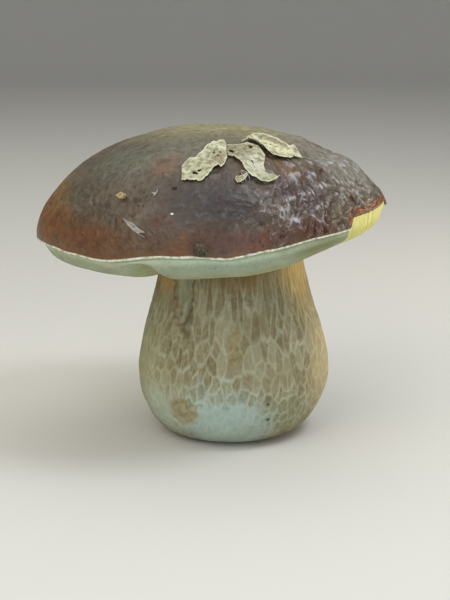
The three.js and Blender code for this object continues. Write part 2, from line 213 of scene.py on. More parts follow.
def patchesOver(tree, place, base, patches):  # soft patches of colour over a base: at, reach, hex, strength
    for at, reach, code, strength in patches:
        away = addNode(tree, "Mapping", 0, {"vector_type": "TEXTURE"},
                       {"Vector": place, "Location": [c * mm for c in at], "Scale": [r * mm for r in reach]})
        length = addNode(tree, "VectorMath", "Value", {"operation": "LENGTH"}, {0: away})
        base = mixOf(tree, shareOf(tree, length, 0.2, 1.0, strength, 0.0), base, code)
    return base


def bumpOf(tree, shader, layers):  # fine relief from (height, depth in mm) layers
    normal = None
    for height, depth in layers:
        inputs = {"Height": height, "Distance": depth * mm}
        if normal:
            inputs["Normal"] = normal
        normal = addNode(tree, "Bump", 0, {}, inputs)
    tree.links.new(normal, shader.inputs["Normal"])


# Camera, light and floor

studio = {
    "distance": 620, "elevation": 13, "aim": (0, 0, 60), "lens": 91.9, "shift": (-0.01, -0.0267),
    "floorRadius": 1500, "wallRadius": 2100, "wallHeight": 1900, "paper": "#d8d6d0",
    "air": "#e4e9f0", "airStrength": 0.3,
}
lamps = [  # places and sizes in mm, energy in watts
    {"name": "overhead", "at": (-60, 160, 900), "aim": (0, 0, 100), "size": 1400, "energy": 4.8,
     "light": "#fbfaf2"},
    {"name": "mainLight", "at": (-420, -620, 620), "aim": (0, 0, 70), "size": 900, "energy": 4.4,
     "light": "#fffaf0"},
    {"name": "coolFill", "at": (240, -820, 60), "aim": (0, 0, 50), "size": 800, "energy": 3.0,
     "light": "#dce9ff"},
    {"name": "warmSide", "at": (480, 190, 50), "aim": (30, 0, 30), "size": 420, "energy": 1.3,
     "light": "#fff1d6"},
    {"name": "window", "at": (330, -160, 640), "aim": (30, -30, 100), "size": 260, "energy": 1.7,
     "light": "#eaf2ff"},
]


def makeCamera():
    tilt = math.radians(studio["elevation"])
    back = Vector((0, -math.cos(tilt), math.sin(tilt)))
    data = bpy.data.cameras.new("camera")
    data.lens = studio["lens"]
    data.shift_x, data.shift_y = studio["shift"]
    camera = bpy.data.objects.new("camera", data)
    camera.location = (Vector(studio["aim"]) + back * studio["distance"]) * mm
    camera.rotation_euler = (-back).to_track_quat("-Z", "Y").to_euler()
    bpy.context.scene.collection.objects.link(camera)
    bpy.context.scene.camera = camera


def makeLamps():
    for lamp in lamps:
        data = bpy.data.lights.new(lamp["name"], "AREA")
        data.shape = "DISK"
        data.size = lamp["size"] * mm
        data.energy = lamp["energy"]
        data.color = colour(lamp["light"])[:3]
        made = bpy.data.objects.new(lamp["name"], data)
        made.location = Vector(lamp["at"]) * mm
        made.rotation_euler = (Vector(lamp["aim"]) - Vector(lamp["at"])).to_track_quat("-Z", "Y").to_euler()
        bpy.context.scene.collection.objects.link(made)
    world = bpy.data.worlds.new("studioAir")
    world.use_nodes = True
    air = world.node_tree.nodes["Background"]
    air.inputs["Color"].default_value = colour(studio["air"])
    air.inputs["Strength"].default_value = studio["airStrength"]
    bpy.context.scene.world = world
    bpy.context.scene.view_settings.view_transform = "Standard"


def makeFloor():  # a round sheet of paper that curves up into a wall on all sides
    turn = studio["wallRadius"] - studio["floorRadius"]
    profile = [(0, 0, 0), (studio["floorRadius"], 0, 0)]
    for step in range(1, 13):
        bend = math.pi / 2 * step / 12
        profile.append((studio["floorRadius"] + turn * math.sin(bend), turn * (1 - math.cos(bend)), 0))
    profile.append((studio["wallRadius"], studio["wallHeight"], 0))
    bm = spunSheet(profile, 96)
    bmesh.ops.scale(bm, vec=(mm, mm, mm), verts=bm.verts)
    bmesh.ops.translate(bm, vec=(0, 0, -0.0001), verts=bm.verts)
    bmesh.ops.reverse_faces(bm, faces=bm.faces)
    mesh = bpy.data.meshes.new("floor")
    bm.to_mesh(mesh)
    bm.free()
    mesh.polygons.foreach_set("use_smooth", [True] * len(mesh.polygons))
    made, tree, shader = newMaterial("mattPaper")  # uncoated backdrop paper, so it only takes soft shadows
    shader.inputs["Base Color"].default_value = colour(studio["paper"])
    shader.inputs["Roughness"].default_value = 0.9
    mesh.materials.append(made)
    floor = bpy.data.objects.new("floor", mesh)
    bpy.context.scene.collection.objects.link(floor)


# The grown form that cap, tubes and litter share

form = {
    "capRadius": 70, "rimHeight": 86.5, "domeRise": 36.5, "neckRadius": 28.5, "fleshRise": 8,
    "leftShoulder": (2.9, 0.5), "rightShoulder": (2.2, 0.95),  # fullness, slope
    "reachWaves": ((3, 0.6, 0.9), (5, 2.4, 0.7)),  # crests, start, size
    "droopWaves": ((2, 0.9, 0.6), (7, 0.3, 0.35)),
    "oval": 0.06, "rimShift": -8.5, "rimLean": 5.6,
    "notch": {"middle": -19, "halfWidth": 20.5, "edge": 0.25, "lift": 4.5, "pull": 1.6, "fade": 14},
    "cleft": {"middle": -115, "halfWidth": 8, "edge": 0.9, "depth": 5, "top": 1.5, "bottom": 8},
    "edgeRises": ((-180, 1.5), (-158, 1.6), (-148, 0.8), (-138, -0.3), (-124, -1.4), (-106, 0.1),
                  (-96, -0.8), (-84, -2.5), (-72, -1.2), (-58, -0.5), (-42, -1.5), (0, -1.5), (40, 0),
                  (150, 0), (180, 1.5)),  # angle, rise of the cap's edge
    "riseFade": (20, 9),  # above and below the edge
    "tubeLengths": (1, 0.5),  # left, right
    "underRows": (31.5, 44, 56, 65.5), "gap": 0.3,
}


def wavesAt(waves, angle):
    return sum(size * np.sin(crests * angle + start) for crests, start, size in waves)


def windowShare(angle, window):  # from 0 outside a window of angles to 1 in its middle
    off = angle - math.radians(window["middle"])
    away = np.abs(np.arctan2(np.sin(off), np.cos(off)))
    half = math.radians(window["halfWidth"])
    return 1 - smoothShare(away, half * (1 - window["edge"]), half)


def rightShare(angle, turning):
    return smoothShare((1 + np.cos(angle)) / 2, turning, 1)


def domeHeight(radius, angle):
    share = np.clip(radius / form["capRadius"], 0, 1)
    right = rightShare(angle, 0.3)
    fullness = blend(form["leftShoulder"][0], form["rightShoulder"][0], right)
    slope = blend(form["leftShoulder"][1], form["rightShoulder"][1], right)
    return form["rimHeight"] + form["domeRise"] * (1 - share ** fullness) ** slope


def outwardShare(radius):
    return np.clip((radius - form["neckRadius"]) / (form["capRadius"] - form["neckRadius"]), 0, 1)


def edgeRise(angle):
    spots, rises = (np.array(column, float) for column in zip(*form["edgeRises"]))
    degrees = np.degrees(np.arctan2(np.sin(angle), np.cos(angle)))
    after = np.clip(np.searchsorted(spots, degrees), 1, len(spots) - 1)
    return blend(rises[after - 1], rises[after], smoothShare(degrees, spots[after - 1], spots[after]))


def grown(radius, angle, height):  # moves points of a round cap to where the grown one has them
    reached = outwardShare(radius)
    outward = reached ** 2
    notch, cleft = form["notch"], form["cleft"]
    above = height - form["rimHeight"]
    nearEdge = np.minimum(1 - above / notch["fade"], smoothShare(above, -6, -0.5))
    eaten = windowShare(angle, notch) * np.maximum(nearEdge, 0) * reached ** 5
    folded = windowShare(angle, cleft) * reached * smoothShare(-above, cleft["top"], cleft["bottom"])
    faded = np.where(above > 0, above / form["riseFade"][0], -above / form["riseFade"][1])
    reach = radius + wavesAt(form["reachWaves"], angle) * outward
    reach = reach - notch["pull"] * eaten - cleft["depth"] * 0.6 * folded
    x = reach * np.cos(angle)
    y = reach * np.sin(angle) * (1 - form["oval"] * outward)
    lean = math.tan(math.radians(form["rimLean"]))
    z = height + lean * x * reached + wavesAt(form["droopWaves"], angle) * outward
    z = z + notch["lift"] * eaten + cleft["depth"] * folded
    z = z + edgeRise(angle) * outward * (1 - smoothShare(faded, 0, 1))
    return np.stack([x + form["rimShift"] * outward, y, z], -1)


def lumps(x, y):  # the cap's broad unevenness
    right = smoothShare(x, -10, 50)
    broad = 0.35 * np.sin(x / 9 + 1.3 * np.sin(y / 13)) * np.sin(y / 8 + 0.7)
    return broad + 0.55 * np.sin((x - 0.5 * y) / 3.4 + 1.5 * np.sin(y / 9)) * right


def onCap(radius, angle, lift=0.0):  # a point on the cap's skin, lifted off it
    height = domeHeight(radius, angle)
    steep = (height - domeHeight(radius + 0.1, angle)) / 0.1
    size = np.sqrt(steep ** 2 + 1)
    fade = 1 - smoothShare(radius, form["capRadius"] - 8, form["capRadius"])
    away = lift + lumps(radius * np.cos(angle), radius * np.sin(angle)) * fade
    return grown(radius + steep / size * away, angle, height + away / size)


def overCap(x, y, lift):  # the point over a place in plan that stands off the skin by a lift
    x, y, lift = np.broadcast_arrays(*(np.asarray(v, float) for v in (x, y, lift)))
    guessX, guessY = x.copy(), y.copy()
    for attempt in range(12):
        point = onCap(np.hypot(guessX, guessY), np.arctan2(guessY, guessX), lift)
        guessX = guessX + x - point[..., 0]
        guessY = guessY + y - point[..., 1]
    return point


def fleshHeight(radius):
    return form["rimHeight"] + form["fleshRise"] * (1 - outwardShare(radius) ** 2)


# The cap's skin

capLook = {
    "columns": 520, "domeRows": 150, "lastRow": 69.9, "skirtRows": 6,
    "edgeRadius": 0.5, "edgeMiddle": (69.5, 0.1), "edgeArc": (30, -130), "edgeRows": 12,
    "rings": (17, 34, 68),  # radii in plan at which the streaks have their own width
    "fold": {"across": 3.8, "along": 12, "left": 0.05, "right": 0.62},
    "crease": {"across": 1.9, "along": 4.4, "left": 0.23, "right": 0.32},
    "swell": {"size": 10, "height": 0.3}, "pimple": {"size": 1.7, "height": 0.06},
    "knob": {"at": (27.5, -3), "reach": (2.4, 9), "height": 0.8},
    "sharpness": 3.2, "sway": (13, 0.09), "fineSway": (5, 0.05), "rightSink": 0.15,
    "whiteFrom": 0.46, "whiteStray": 0.24, "tornReach": (2.6, 6.5),
}


def capProfile():
    look = capLook
    rim = form["rimHeight"]
    rows = [(look["lastRow"] * math.sin(math.pi / 2 * row / look["domeRows"]), rim, 0)
            for row in range(look["domeRows"] + 1)]
    rows += [(look["lastRow"], rim - step, step / look["skirtRows"]) for step in range(1, look["skirtRows"])]
    for step in range(look["edgeRows"] + 1):
        turn = math.radians(blend(*look["edgeArc"], step / look["edgeRows"]))
        radius, height = look["edgeMiddle"]
        rows.append((radius + look["edgeRadius"] * math.cos(turn),
                     rim + height + look["edgeRadius"] * math.sin(turn), 1 + step / look["edgeRows"]))
    rows += [(r, float(fleshHeight(r)), 3) for r in form["underRows"][::-1]]
    return rows + [(0, float(fleshHeight(0)), 3)]


def streaks(radius, angle, rise, across, along, start):  # ridges from -1 to 1 that run down the cap
    zone = np.log2(np.clip(radius, capLook["rings"][0], capLook["rings"][-1]) / capLook["rings"][0])
    total = 0
    for index, ring in enumerate(capLook["rings"]):
        place = np.stack([np.cos(angle) * ring / across, np.sin(angle) * ring / across, rise / along], -1)
        total = total + np.clip(1 - np.abs(zone - index), 0, 1) * roughness(place, 1, start + 7 * index)
    return 1 - capLook["sharpness"] * np.abs(total)


def capRelief(radius, angle):
    look = capLook
    rise = np.arcsin(np.clip(radius / form["capRadius"], 0, 1)) * form["capRadius"]
    flat = np.stack([radius * np.cos(angle), radius * np.sin(angle), 0 * radius], -1)
    sway = roughness(flat, look["sway"][0], 3)
    bent = angle + look["sway"][1] * sway + look["fineSway"][1] * roughness(flat, look["fineSway"][0], 8)
    low = rise / (form["capRadius"] * math.pi / 2)
    right = smoothShare(flat[:, 0] - 0.15 * flat[:, 1], 10, 44) * smoothShare(low, 0.22, 0.5)
    folds = streaks(radius, bent, rise + 6 * sway, look["fold"]["across"], look["fold"]["along"], 2)
    creases = streaks(radius, bent, rise, look["crease"]["across"], look["crease"]["along"], 31)
    lift = folds * blend(look["fold"]["left"], look["fold"]["right"], right)
    lift = lift + creases * blend(look["crease"]["left"], look["crease"]["right"], right)
    lift = lift + look["swell"]["height"] * roughness(flat, look["swell"]["size"], 5)
    lift = lift + look["pimple"]["height"] * roughness(flat, look["pimple"]["size"], 9)
    calm = blend(0.35, 1, smoothShare(radius, 6, 26)) * (1 - smoothShare(radius, 66.5, 69.9))
    knob = look["knob"]
    fromKnob = (flat[:, :2] - knob["at"]) / knob["reach"]
    bulge = knob["height"] * np.exp(-np.sum(fromKnob ** 2, axis=1))
    crest = blend(0.3 * folds + 0.7 * creases, 0.65 * folds + 0.35 * creases, right)
    return (lift - look["rightSink"] * right) * calm + bulge, crest, right, low


def makeCapSkin():
    bm = spunSheet(capProfile(), capLook["columns"])
    marks = marksOf(bm)
    places = placesOf(bm)
    radius = np.hypot(places[:, 0], places[:, 1])
    angle = np.arctan2(places[:, 1], places[:, 0])
    lift, crest, right, low = capRelief(radius, angle)
    rim = form["rimHeight"]
    circle = np.stack([35 * np.cos(angle), 35 * np.sin(angle), 0 * angle], -1)
    stray = roughness(circle, 1.6, 4)
    ragged = 0.9 * windowShare(angle, form["notch"]) * roughness(circle, 0.9, 12)
    dome = marks < 1e-6
    skirt = (marks > 1e-6) & (marks < 0.999)
    onArc = (marks >= 0.999) & (marks < 2.5)
    arcTop = math.sin(math.radians(capLook["edgeArc"][0])) * capLook["edgeRadius"]
    skirtTop = domeHeight(capLook["lastRow"], angle)
    skirtEnd = rim + capLook["edgeMiddle"][1] + arcTop
    height = np.where(dome, domeHeight(radius, angle), places[:, 2])
    height = np.where(skirt, blend(skirtTop, skirtEnd, marks) + marks * ragged, height)
    height = np.where(onArc, height + 0.1 * stray + ragged, height)
    skin = onCap(radius, angle, lift)
    rest = grown(radius + np.where(onArc, 0.12 * stray, 0), angle, height)
    movePoints(bm, np.where(dome[:, None], skin, rest))
    piece = finishPiece(bm, "capSkin", wetSkin())
    whiteLine = height - rim - 0.1 * stray - ragged + capLook["whiteStray"] * roughness(circle, 0.8, 21)
    white = 1 - smoothShare(whiteLine, capLook["whiteFrom"] - 0.05, capLook["whiteFrom"] + 0.1)
    torn = windowShare(angle, dict(form["notch"], edge=0.05))
    torn = torn * (1 - smoothShare(height - rim, *capLook["tornReach"])) * (marks < 2.5) * (radius > 45)
    paint(piece, "edge", np.where(onArc | skirt, white * (1 - torn), 0))
    paint(piece, "torn", torn)
    paint(piece, "under", marks > 2.5)
    paint(piece, "crest", np.where(dome, 0.5 + 0.5 * np.clip(crest, -1, 1), 0.5))
    paint(piece, "rightShare", right)
    paint(piece, "low", np.where(dome, low, 1))
    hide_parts("cap")
    print("cap skin made,", len(piece.data.polygons), "faces")


capPatches = [  # at, reach, colour, strength
    ((0, 12, 124), (64, 54, 15), "#9a956e", 0.9),
    # the next two grey patches are partly the skin's own tone and partly painted sky sheen on the crown and
    # upper left
    ((-23, -31, 119), (36, 22, 14), "#6d6b58", 0.75),
    ((-42, -26, 114), (28, 28, 16), "#5a5947", 0.85),
    ((-55, -34, 104), (22, 22, 14), "#544c3c", 0.8),
    ((-20, -52, 110), (22, 12, 10), "#54493b", 0.7),
    ((-68, -6, 101), (13, 44, 16), "#7c6230", 0.85),
    ((-70, -24, 92), (24, 34, 12), "#80511f", 0.9),
    ((-52, -48, 89), (34, 24, 10), "#6f4526", 0.85),
    ((-8, -58, 103), (30, 18, 16), "#342c2d", 0.9),
    ((-6, -66, 91), (44, 12, 8), "#573523", 0.85),
    ((25, -47, 106), (24, 16, 14), "#4c3835", 0.8),
    ((11, -63, 91), (10, 7, 6), "#6f3b22", 0.5),
    ((30, -54, 92), (28, 14, 8), "#58382b", 0.85),
    # the next two pale grey patches are partly the skin's own tone and partly painted sky sheen on the top
    # right
    ((46, -12, 108), (22, 30, 16), "#8d8779", 0.9),
    ((34, -8, 116), (24, 26, 10), "#857f6f", 0.9),
    ((-24, -42, 115), (9, 11, 8), "#75461f", 0.45),
    ((21, -40, 113), (8, 7, 7), "#7f5129", 0.45),
    ((-26, -61, 97), (7, 5, 5), "#5f2a1a", 0.5),
    ((-18, -65, 90), (5, 4, 5), "#825524", 0.4),
]


def wetSkin():  # bolete skin, a thin jelly film over flesh: dark, with a soft wet gloss, painted glints on the crests and painted shade in the fold hollows
    made, tree, shader = newMaterial("wetSkin")
    place = addNode(tree, "TexCoord", "Object")
    wander = wanderingPlace(tree, place, 9, 5)
    base = rampOf(tree, grainOf(tree, place, 8, 4), [(0.32, "#4c4132"), (0.5, "#5c4f3e"), (0.7, "#6c5e4b")])
    base = patchesOver(tree, wander, base, capPatches)
    mottle = shareOf(tree, grainOf(tree, place, 2.6, 4), 0.42, 0.66, 0.0, 0.4)
    base = mixOf(tree, mottle, base, "#352b22")
    low = attributeOf(tree, "low")
    cloud = grainOf(tree, place, 4)
    ragged = addNode(tree, "Math", 0, {"operation": "MULTIPLY_ADD"}, {0: cloud, 1: 0.14, 2: low})
    base = mixOf(tree, shareOf(tree, ragged, 0.96, 1.08, 0.0, 0.55), base, "#744a24")
    crest = attributeOf(tree, "crest")
    right = attributeOf(tree, "rightShare")
    # painted shade: the hollows between the folds darkened, more on the right, towards a red-brown that the
    # skin also has
    hollowRedAndShade = timesOf(tree, shareOf(tree, crest, 0.22, 0.6, 0.95, 0.0), shareOf(tree, right, 0, 1, 0.3, 1))
    base = mixOf(tree, hollowRedAndShade, base, "#3a160e")
    # painted highlight: pale glints on the fold crests, mostly on the right, broken up by noise and fewer low
    # down
    pale = timesOf(tree, shareOf(tree, crest, 0.68, 0.98, 0.0, 0.85), shareOf(tree, right, 0, 1, 0.1, 1))
    broken = shareOf(tree, grainOf(tree, place, 3.2, 3), 0.46, 0.6)
    inner = timesOf(tree, broken, shareOf(tree, low, 0.76, 0.9, 1.0, 0.25))
    base = mixOf(tree, timesOf(tree, pale, inner), base, "#bab8ba")
    cells = addNode(tree, "TexVoronoi", "Distance", {}, {"Vector": place, "Scale": 1 / (3.2 * mm)})
    cluster = shareOf(tree, grainOf(tree, place, 14, 2), 0.42, 0.6)
    specks = timesOf(tree, shareOf(tree, cells, 0.1, 0.24, 0.6, 0.0), cluster)
    base = mixOf(tree, specks, base, "#21120e")
    raw = rampOf(tree, grainOf(tree, place, 2.4), [(0.35, "#4d1d08"), (0.65, "#8f4d12")])
    base = mixOf(tree, attributeOf(tree, "torn"), base, raw)
    white = rampOf(tree, grainOf(tree, place, 1.6), [(0.32, "#a9a582"), (0.5, "#d2d3bd"), (0.7, "#e4e6da")])
    base = mixOf(tree, attributeOf(tree, "edge"), base, white)
    base = mixOf(tree, attributeOf(tree, "under"), base, "#cfcdb0")
    tree.links.new(base, shader.inputs["Base Color"])
    dull = shareOf(tree, grainOf(tree, place, 5), 0.35, 0.65, 0.4, 0.55)
    gloss = shareOf(tree, right, 0, 1, 0, 0.18)
    wet = addNode(tree, "Math", 0, {"operation": "SUBTRACT"}, {0: dull, 1: gloss})
    matt = shareOf(tree, attributeOf(tree, "edge"), 0, 1, 0, 0.7)
    rough = addNode(tree, "Math", 0, {"operation": "MAXIMUM"}, {0: wet, 1: matt})
    tree.links.new(rough, shader.inputs["Roughness"])
    shader.inputs["IOR"].default_value = 1.42
    shader.inputs["Coat Weight"].default_value = 0.12
    shader.inputs["Coat Roughness"].default_value = 0.2
    shader.inputs["Subsurface Weight"].default_value = 0.06
    shader.inputs["Subsurface Radius"].default_value = (1.0, 0.4, 0.2)
    shader.inputs["Subsurface Scale"].default_value = 1.5 * mm
    bumpOf(tree, shader, [(grainOf(tree, place, 2.7, 3), 1.0), (grainOf(tree, place, 0.8, 3), 0.16)])
    return made


# The layer of tubes

tubeLook = {
    "columns": 600, "rows": 112, "poreSlope": 0.013, "poresFrom": 5,
    "outline": ((68.4, -0.41), (67.8, -2.4), (64.5, -7.2), (58, -10.8), (49, -12.2), (39, -11.2),
                (33.5, -9.6), (28.8, -7.5)),  # radius and height from the rim
    "sag": {"size": 15, "height": 0.5}, "stray": 0.14,
    "pleat": {"count": 150, "bulge": 0.7, "depth": 0.13, "rows": 40},
}


def makeTubeLayer():
    look = tubeLook
    rim = form["rimHeight"]
    outline = alongCurve(look["outline"], look["rows"])
    profile = [(r, rim + h, row) for row, (r, h) in enumerate(outline.tolist())]
    topRows = (float(outline[-1][0]),) + form["underRows"]
    last = look["rows"]
    profile += [(r, float(fleshHeight(r)) - form["gap"], last + step) for step, r in enumerate(topRows)]
    bm = spunSheet(profile, look["columns"], closed=True)
    row = marksOf(bm)
    places = placesOf(bm)
    radius = np.hypot(places[:, 0], places[:, 1])
    step = fullTurn / look["columns"]
    column = np.round(np.arctan2(places[:, 1], places[:, 0]) / step)
    angle = (column + (row % 2) / 2) * step  # every second row stands half a step round
    flat = np.stack([radius * np.cos(angle), radius * np.sin(angle), places[:, 2]], -1)
    movePoints(bm, flat)
    bmesh.ops.triangulate(bm, faces=bm.faces, quad_method="SHORT_EDGE")

    # In the even triangles every third point is the middle of a pore, which sinks into the layer
    free = row < last
    pore = (column - np.floor(row / 2) - row) % 3 == 0
    pore = pore & (row >= look["poresFrom"]) & (row < last - 1)
    along = np.gradient(outline, axis=0)
    along /= np.linalg.norm(along, axis=1)[:, None]
    index = np.minimum(row, last - 1).astype(int)
    sink = pore * look["poreSlope"] * radius * smoothShare(row, look["poresFrom"] - 3, look["poresFrom"] + 10)
    loose = free * smoothShare(row, 2, 9)
    height = places[:, 2] - along[index, 0] * sink
    radius = radius + along[index, 1] * sink + loose * look["stray"] * roughness(flat, 0.9, 4)
    length = blend(*form["tubeLengths"], rightShare(angle, 0.55))
    top = rim + outline[0][1]
    height = np.where(free, top + (height - top) * length, height)
    height = height + loose * look["sag"]["height"] * roughness(flat, look["sag"]["size"], 2)
    pleat = look["pleat"]
    swollen = windowShare(angle, form["notch"]) * free * smoothShare(-row, -pleat["rows"], -4)
    wave = np.sin(angle * pleat["count"] + 3 * np.sin(angle * 23))
    radius = radius + swollen * (pleat["bulge"] + pleat["depth"] * wave)
    movePoints(bm, grown(radius, angle, height))
    bmesh.ops.recalc_face_normals(bm, faces=bm.faces)
    piece = finishPiece(bm, "tubeLayer", tubeSponge())
    paint(piece, "pore", pore * smoothShare(row, look["poresFrom"], look["poresFrom"] + 8))
    fresh = windowShare(angle, dict(form["notch"], edge=0.12)) * free * (1 - smoothShare(row, 34, 44))
    paint(piece, "fresh", fresh)
    paint(piece, "inward", np.where(free, row / last, 1))
    paint(piece, "pleat", 0.5 + 0.5 * wave)
    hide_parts("tube_layer")
    print("tube layer made,", len(piece.data.polygons), "faces,", int(pore.sum()), "pores")


tubePatches = [
    ((-50, -46, 82), (30, 26, 12), "#b6bd9e", 0.7),
    ((-4, -66, 82), (40, 14, 12), "#b4c4ac", 0.8),
    ((36, -48, 84), (24, 18, 12), "#8d8f66", 0.85),
    ((-30, -58, 78), (9, 9, 6), "#cdd4b8", 0.6),
]


def tubeSponge():  # bolete tubes, a damp matt sponge: pale walls with fine dots of painted shade in the pits, greener where they are ripe, a painted shadow under the cap's edge and painted shade in the notch's pleats
    made, tree, shader = newMaterial("tubeSponge")
    place = addNode(tree, "TexCoord", "Object")
    base = rampOf(tree, grainOf(tree, place, 7, 4), [(0.3, "#a2ab8f"), (0.5, "#b4bfa2"), (0.72, "#c8d0b8")])
    base = patchesOver(tree, wanderingPlace(tree, place, 8, 4), base, tubePatches)
    inward = attributeOf(tree, "inward")
    base = mixOf(tree, shareOf(tree, inward, 0.1, 0.4, 0.0, 0.6), base, "#a3a164")
    # painted shadow: a dark band along the top of the layer's side, under the cap's overhanging edge
    base = mixOf(tree, shareOf(tree, inward, 0.0, 0.03, 0.55, 0.0), base, "#6c7650")
    # painted shade: the pits in the middles of the pores darkened
    base = mixOf(tree, timesOf(tree, attributeOf(tree, "pore"), 0.6), base, "#5e6334")
    # painted shade: the fresh yellow in the notch is paler on the pleats' crests and darker in their grooves
    yellow = mixOf(tree, attributeOf(tree, "pleat"), "#d8d070", "#f0eb9c")
    base = mixOf(tree, attributeOf(tree, "fresh"), base, yellow)
    fleck = shareOf(tree, grainOf(tree, place, 0.7, 2, (1, 1, 2)), 0.5, 0.75, 0.0, 0.35)
    base = mixOf(tree, fleck, base, "#7d8560")
    tree.links.new(base, shader.inputs["Base Color"])
    shader.inputs["Roughness"].default_value = 0.72
    shader.inputs["IOR"].default_value = 1.4
    shader.inputs["Subsurface Weight"].default_value = 0.15
    shader.inputs["Subsurface Radius"].default_value = (1.0, 0.9, 0.5)
    shader.inputs["Subsurface Scale"].default_value = 1.5 * mm
    bumpOf(tree, shader, [(grainOf(tree, place, 0.8, 2, (1, 1, 2.5)), 0.2)])
    return made


# The stem with its net

stemForm = {
    "outline": ((20.5, 0), (28, 2.6), (33.6, 9), (36.9, 17.5), (37.8, 26), (36.5, 36), (33.8, 47),
                (30.6, 59), (28.8, 69), (28.5, 78), (28.5, 94.2)),  # radius and height
    "bellyTop": 77, "bellyShift": 1.1,
    "waves": ((2, 0.4, 0.7, 30), (5, 0, 0.4, 11)),  # crests, start, size, twist
    "columns": 516, "rows": 182,
}
netLook = {
    "ridge": 0.36, "halfWidth": 0.85, "girth": 36, "cellWidth": 3.7, "bottom": 2, "top": 96,
    "cellHeights": ((0, 4.5), (15, 5.5), (30, 8), (45, 11), (60, 17), (75, 28), (96, 36)),  # height, size
    "waver": {"size": 2.2, "reach": 0.8}, "seed": 11,
}
stemMarks = {  # angle and height of the middle, half widths
    "foot": {"at": (-95, 9), "reach": (19, 12)},
    "scar": {"at": (-130, 76), "reach": (6.8, 26), "depth": 0.7},
    "crack": {"at": (-123.5, 52), "reach": (2.4, 8), "depth": 0.45},
    "tornPatch": {"at": (-122, 15), "reach": (5.6, 5.4), "depth": 0.55},
    "upperHole": {"at": (-68.2, 19.8), "reach": (0.6, 0.6), "depth": 1.2},
    "lowerHole": {"at": (-66.7, 13), "reach": (0.6, 0.6), "depth": 1.2},
    "lowNick": {"at": (-25.8, 7.5), "reach": (2.4, 1.2), "depth": 1.3},
    "sideNick": {"at": (-12, 14.4), "reach": (3.2, 1.0), "depth": 1.2},
    "bigCell": {"at": (-89.4, 42.5), "reach": (2.6, 7), "depth": 0.15},
}


def onStem(angle, radius, height, lift):
    belly = np.sin(np.pi * np.clip(height / stemForm["bellyTop"], 0, 1))
    uneven = sum(size * np.sin(crests * angle + start + height / twist)
                 for crests, start, size, twist in stemForm["waves"])
    reach = radius + uneven * belly + lift
    x = reach * np.cos(angle) + stemForm["bellyShift"] * belly
    return np.stack([x, reach * np.sin(angle), height], -1)


def evenedHeight(height):  # heights drawn so that a cell of the net is as tall as it is wide
    spots, sizes = zip(*netLook["cellHeights"])
    grid = np.linspace(-5, 110, 461)
    rate = netLook["cellWidth"] / np.interp(grid, spots, sizes)
    total = np.concatenate([[0], np.cumsum((rate[1:] + rate[:-1]) / 2 * np.diff(grid))])
    return np.interp(height, grid, total)


def netSeeds():  # the middles of the net's cells, in courses like bricks, each drawn out of place
    draw = random.Random(netLook["seed"])
    spots, sizes = zip(*netLook["cellHeights"])
    count = int(round(fullTurn * netLook["girth"] / netLook["cellWidth"]))
    seeds = []
    height, course = netLook["bottom"], 0
    while height < netLook["top"] + 10:
        size = float(np.interp(height, spots, sizes))
        for index in range(count):
            turn = (index + 0.5 * (course % 2) + 0.6 * (draw.random() - 0.5)) / count
            seeds.append((fullTurn * turn, height + 0.7 * size * (draw.random() - 0.5)))
        height += 0.8 * size
        course += 1
    return np.array(seeds)


def unrolled(angle, height):
    girth = netLook["girth"]
    return np.stack([girth * np.cos(angle), girth * np.sin(angle), evenedHeight(height)], -1)


def netBorders(angle, height):  # how far each point is from the border of its cell, and which cell it is in
    seeds = netSeeds()
    centres = unrolled(seeds[:, 0], seeds[:, 1])
    finder = kdtree.KDTree(len(centres))
    for index, centre in enumerate(centres.tolist()):
        finder.insert(centre, index)
    finder.balance()
    points = unrolled(angle, height)
    waver = netLook["waver"]
    push = np.stack([roughness(points, waver["size"], start) for start in (3, 11, 19)], -1)
    border = np.empty(len(points))
    owner = np.empty(len(points), int)
    for index, point in enumerate((points + waver["reach"] * push).tolist()):
        (_, first, near), (_, second, far) = finder.find_n(point, 2)
        apart = np.linalg.norm(centres[first] - centres[second]) + 1e-6
        border[index] = (far ** 2 - near ** 2) / (2 * apart)
        owner[index] = first
    return border, owner


def markShare(angle, height, mark, wander):  # 1 inside a mark on the stem, 0 outside it
    middle, level = mark["at"]
    wide, tall = mark["reach"]
    away = np.hypot((angle - math.radians(middle)) * 34 / wide, (height - level) / tall) + wander
    return 1 - smoothShare(away, 0.75, 1.25)


